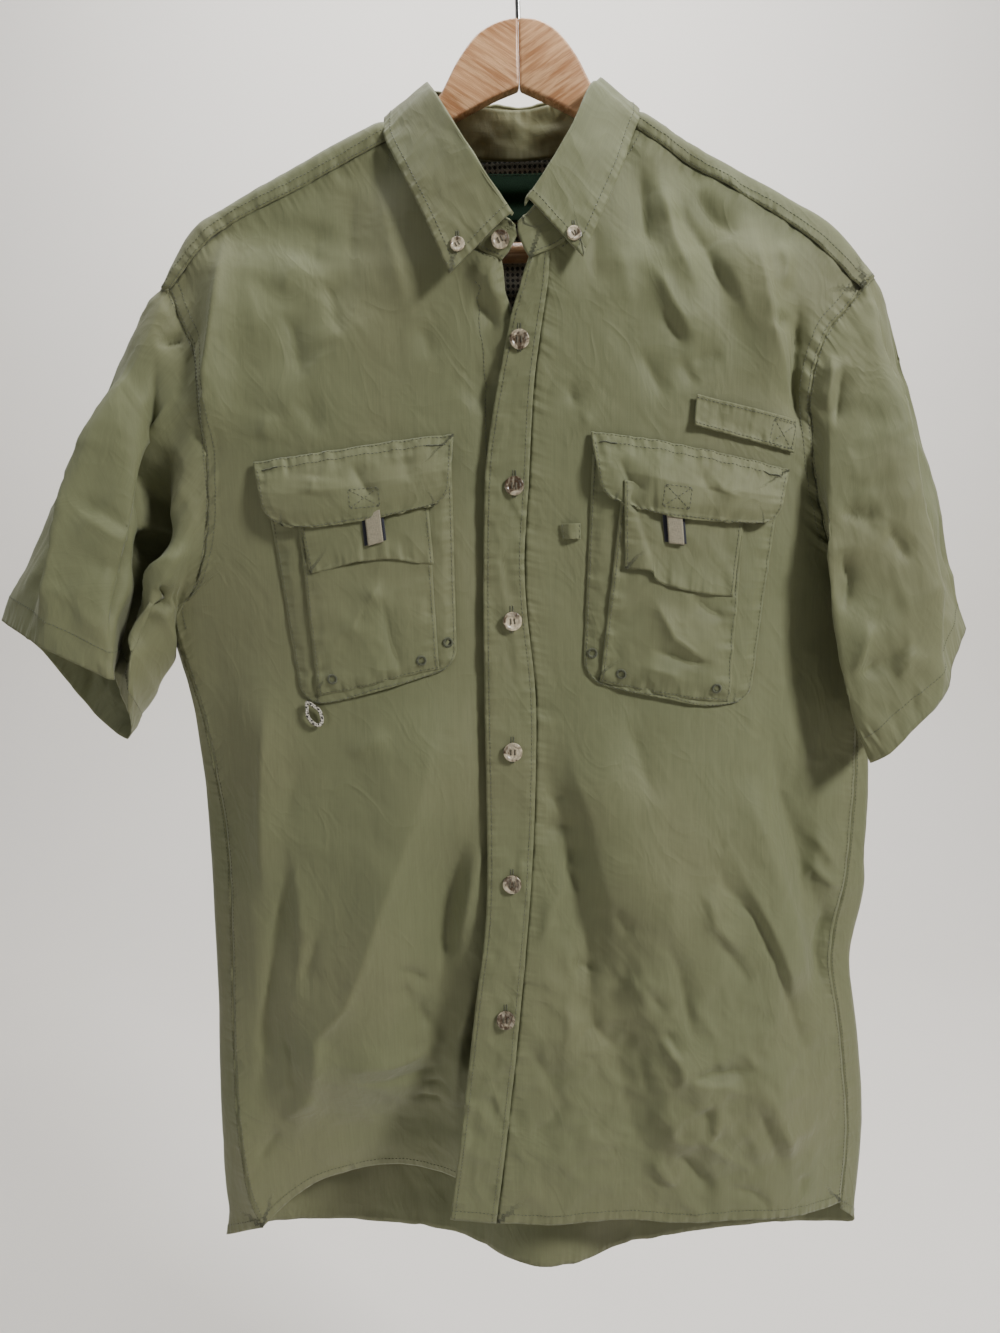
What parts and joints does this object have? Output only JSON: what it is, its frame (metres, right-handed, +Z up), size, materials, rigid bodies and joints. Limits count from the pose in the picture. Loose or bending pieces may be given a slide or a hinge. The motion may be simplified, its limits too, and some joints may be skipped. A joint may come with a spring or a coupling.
{
  "type": "short-sleeved utility shirt on a wooden hanger",
  "caption": "Short-sleeved button-front utility shirt with button-down collar, flapped bellows pockets, strap and loops, hung flat on a wooden hanger with a trouser bar and wire hook.",
  "frame": {"origin": "the inner top of the hanger's hook, where it rests on a rail", "axes": "+Z up, -Y towards the shirt's front, +X to the viewer's right (the wearer's left)"},
  "size_m": [0.739, 0.1181, 1.0095],
  "materials": {
    "green_cloth": "sage-green plain-weave cloth, soft sheen",
    "mesh_cloth": "dark brown-olive open mesh",
    "label_cloth": "dark green woven label, plain",
    "tab_tape": "taupe woven tape",
    "cord": "cream cord with dark flecks",
    "horn": "mottled horn-look buttons",
    "eyelet": "stitched olive eyelet",
    "wood": "varnished honey-brown wood",
    "steel": "bright steel wire"
  },
  "bodies": {
    "root": {"front_right": "green_cloth", "front_left": "green_cloth", "placket": "green_cloth", "back": "green_cloth", "yoke": "green_cloth", "collar_stand": "green_cloth", "collar_leaf": "green_cloth", "sleeve_right": "green_cloth", "sleeve_left": "green_cloth", "pocket_right": "green_cloth", "pocket_left": "green_cloth", "pocket_centre_right": "green_cloth", "pocket_centre_left": "green_cloth", "flap_right": "green_cloth", "flap_left": "green_cloth", "strap": "green_cloth", "utility_loop": "green_cloth", "mesh_lining": "mesh_cloth", "label": "label_cloth", "tab_right": "tab_tape", "tab_left": "tab_tape", "cord_loop": "cord", "button_1": "horn", "button_2": "horn", "button_3": "horn", "button_4": "horn", "button_5": "horn", "button_6": "horn", "stand_button": "horn", "collar_button_right": "horn", "collar_button_left": "horn", "eyelet_1": "eyelet", "eyelet_2": "eyelet", "eyelet_3": "eyelet", "eyelet_4": "eyelet", "eyelet_5": "eyelet", "eyelet_6": "eyelet", "hanger_arm_left": "wood", "hanger_arm_right": "wood", "hanger_bar": "wood", "hook": "steel"}
  },
  "joints": []
}
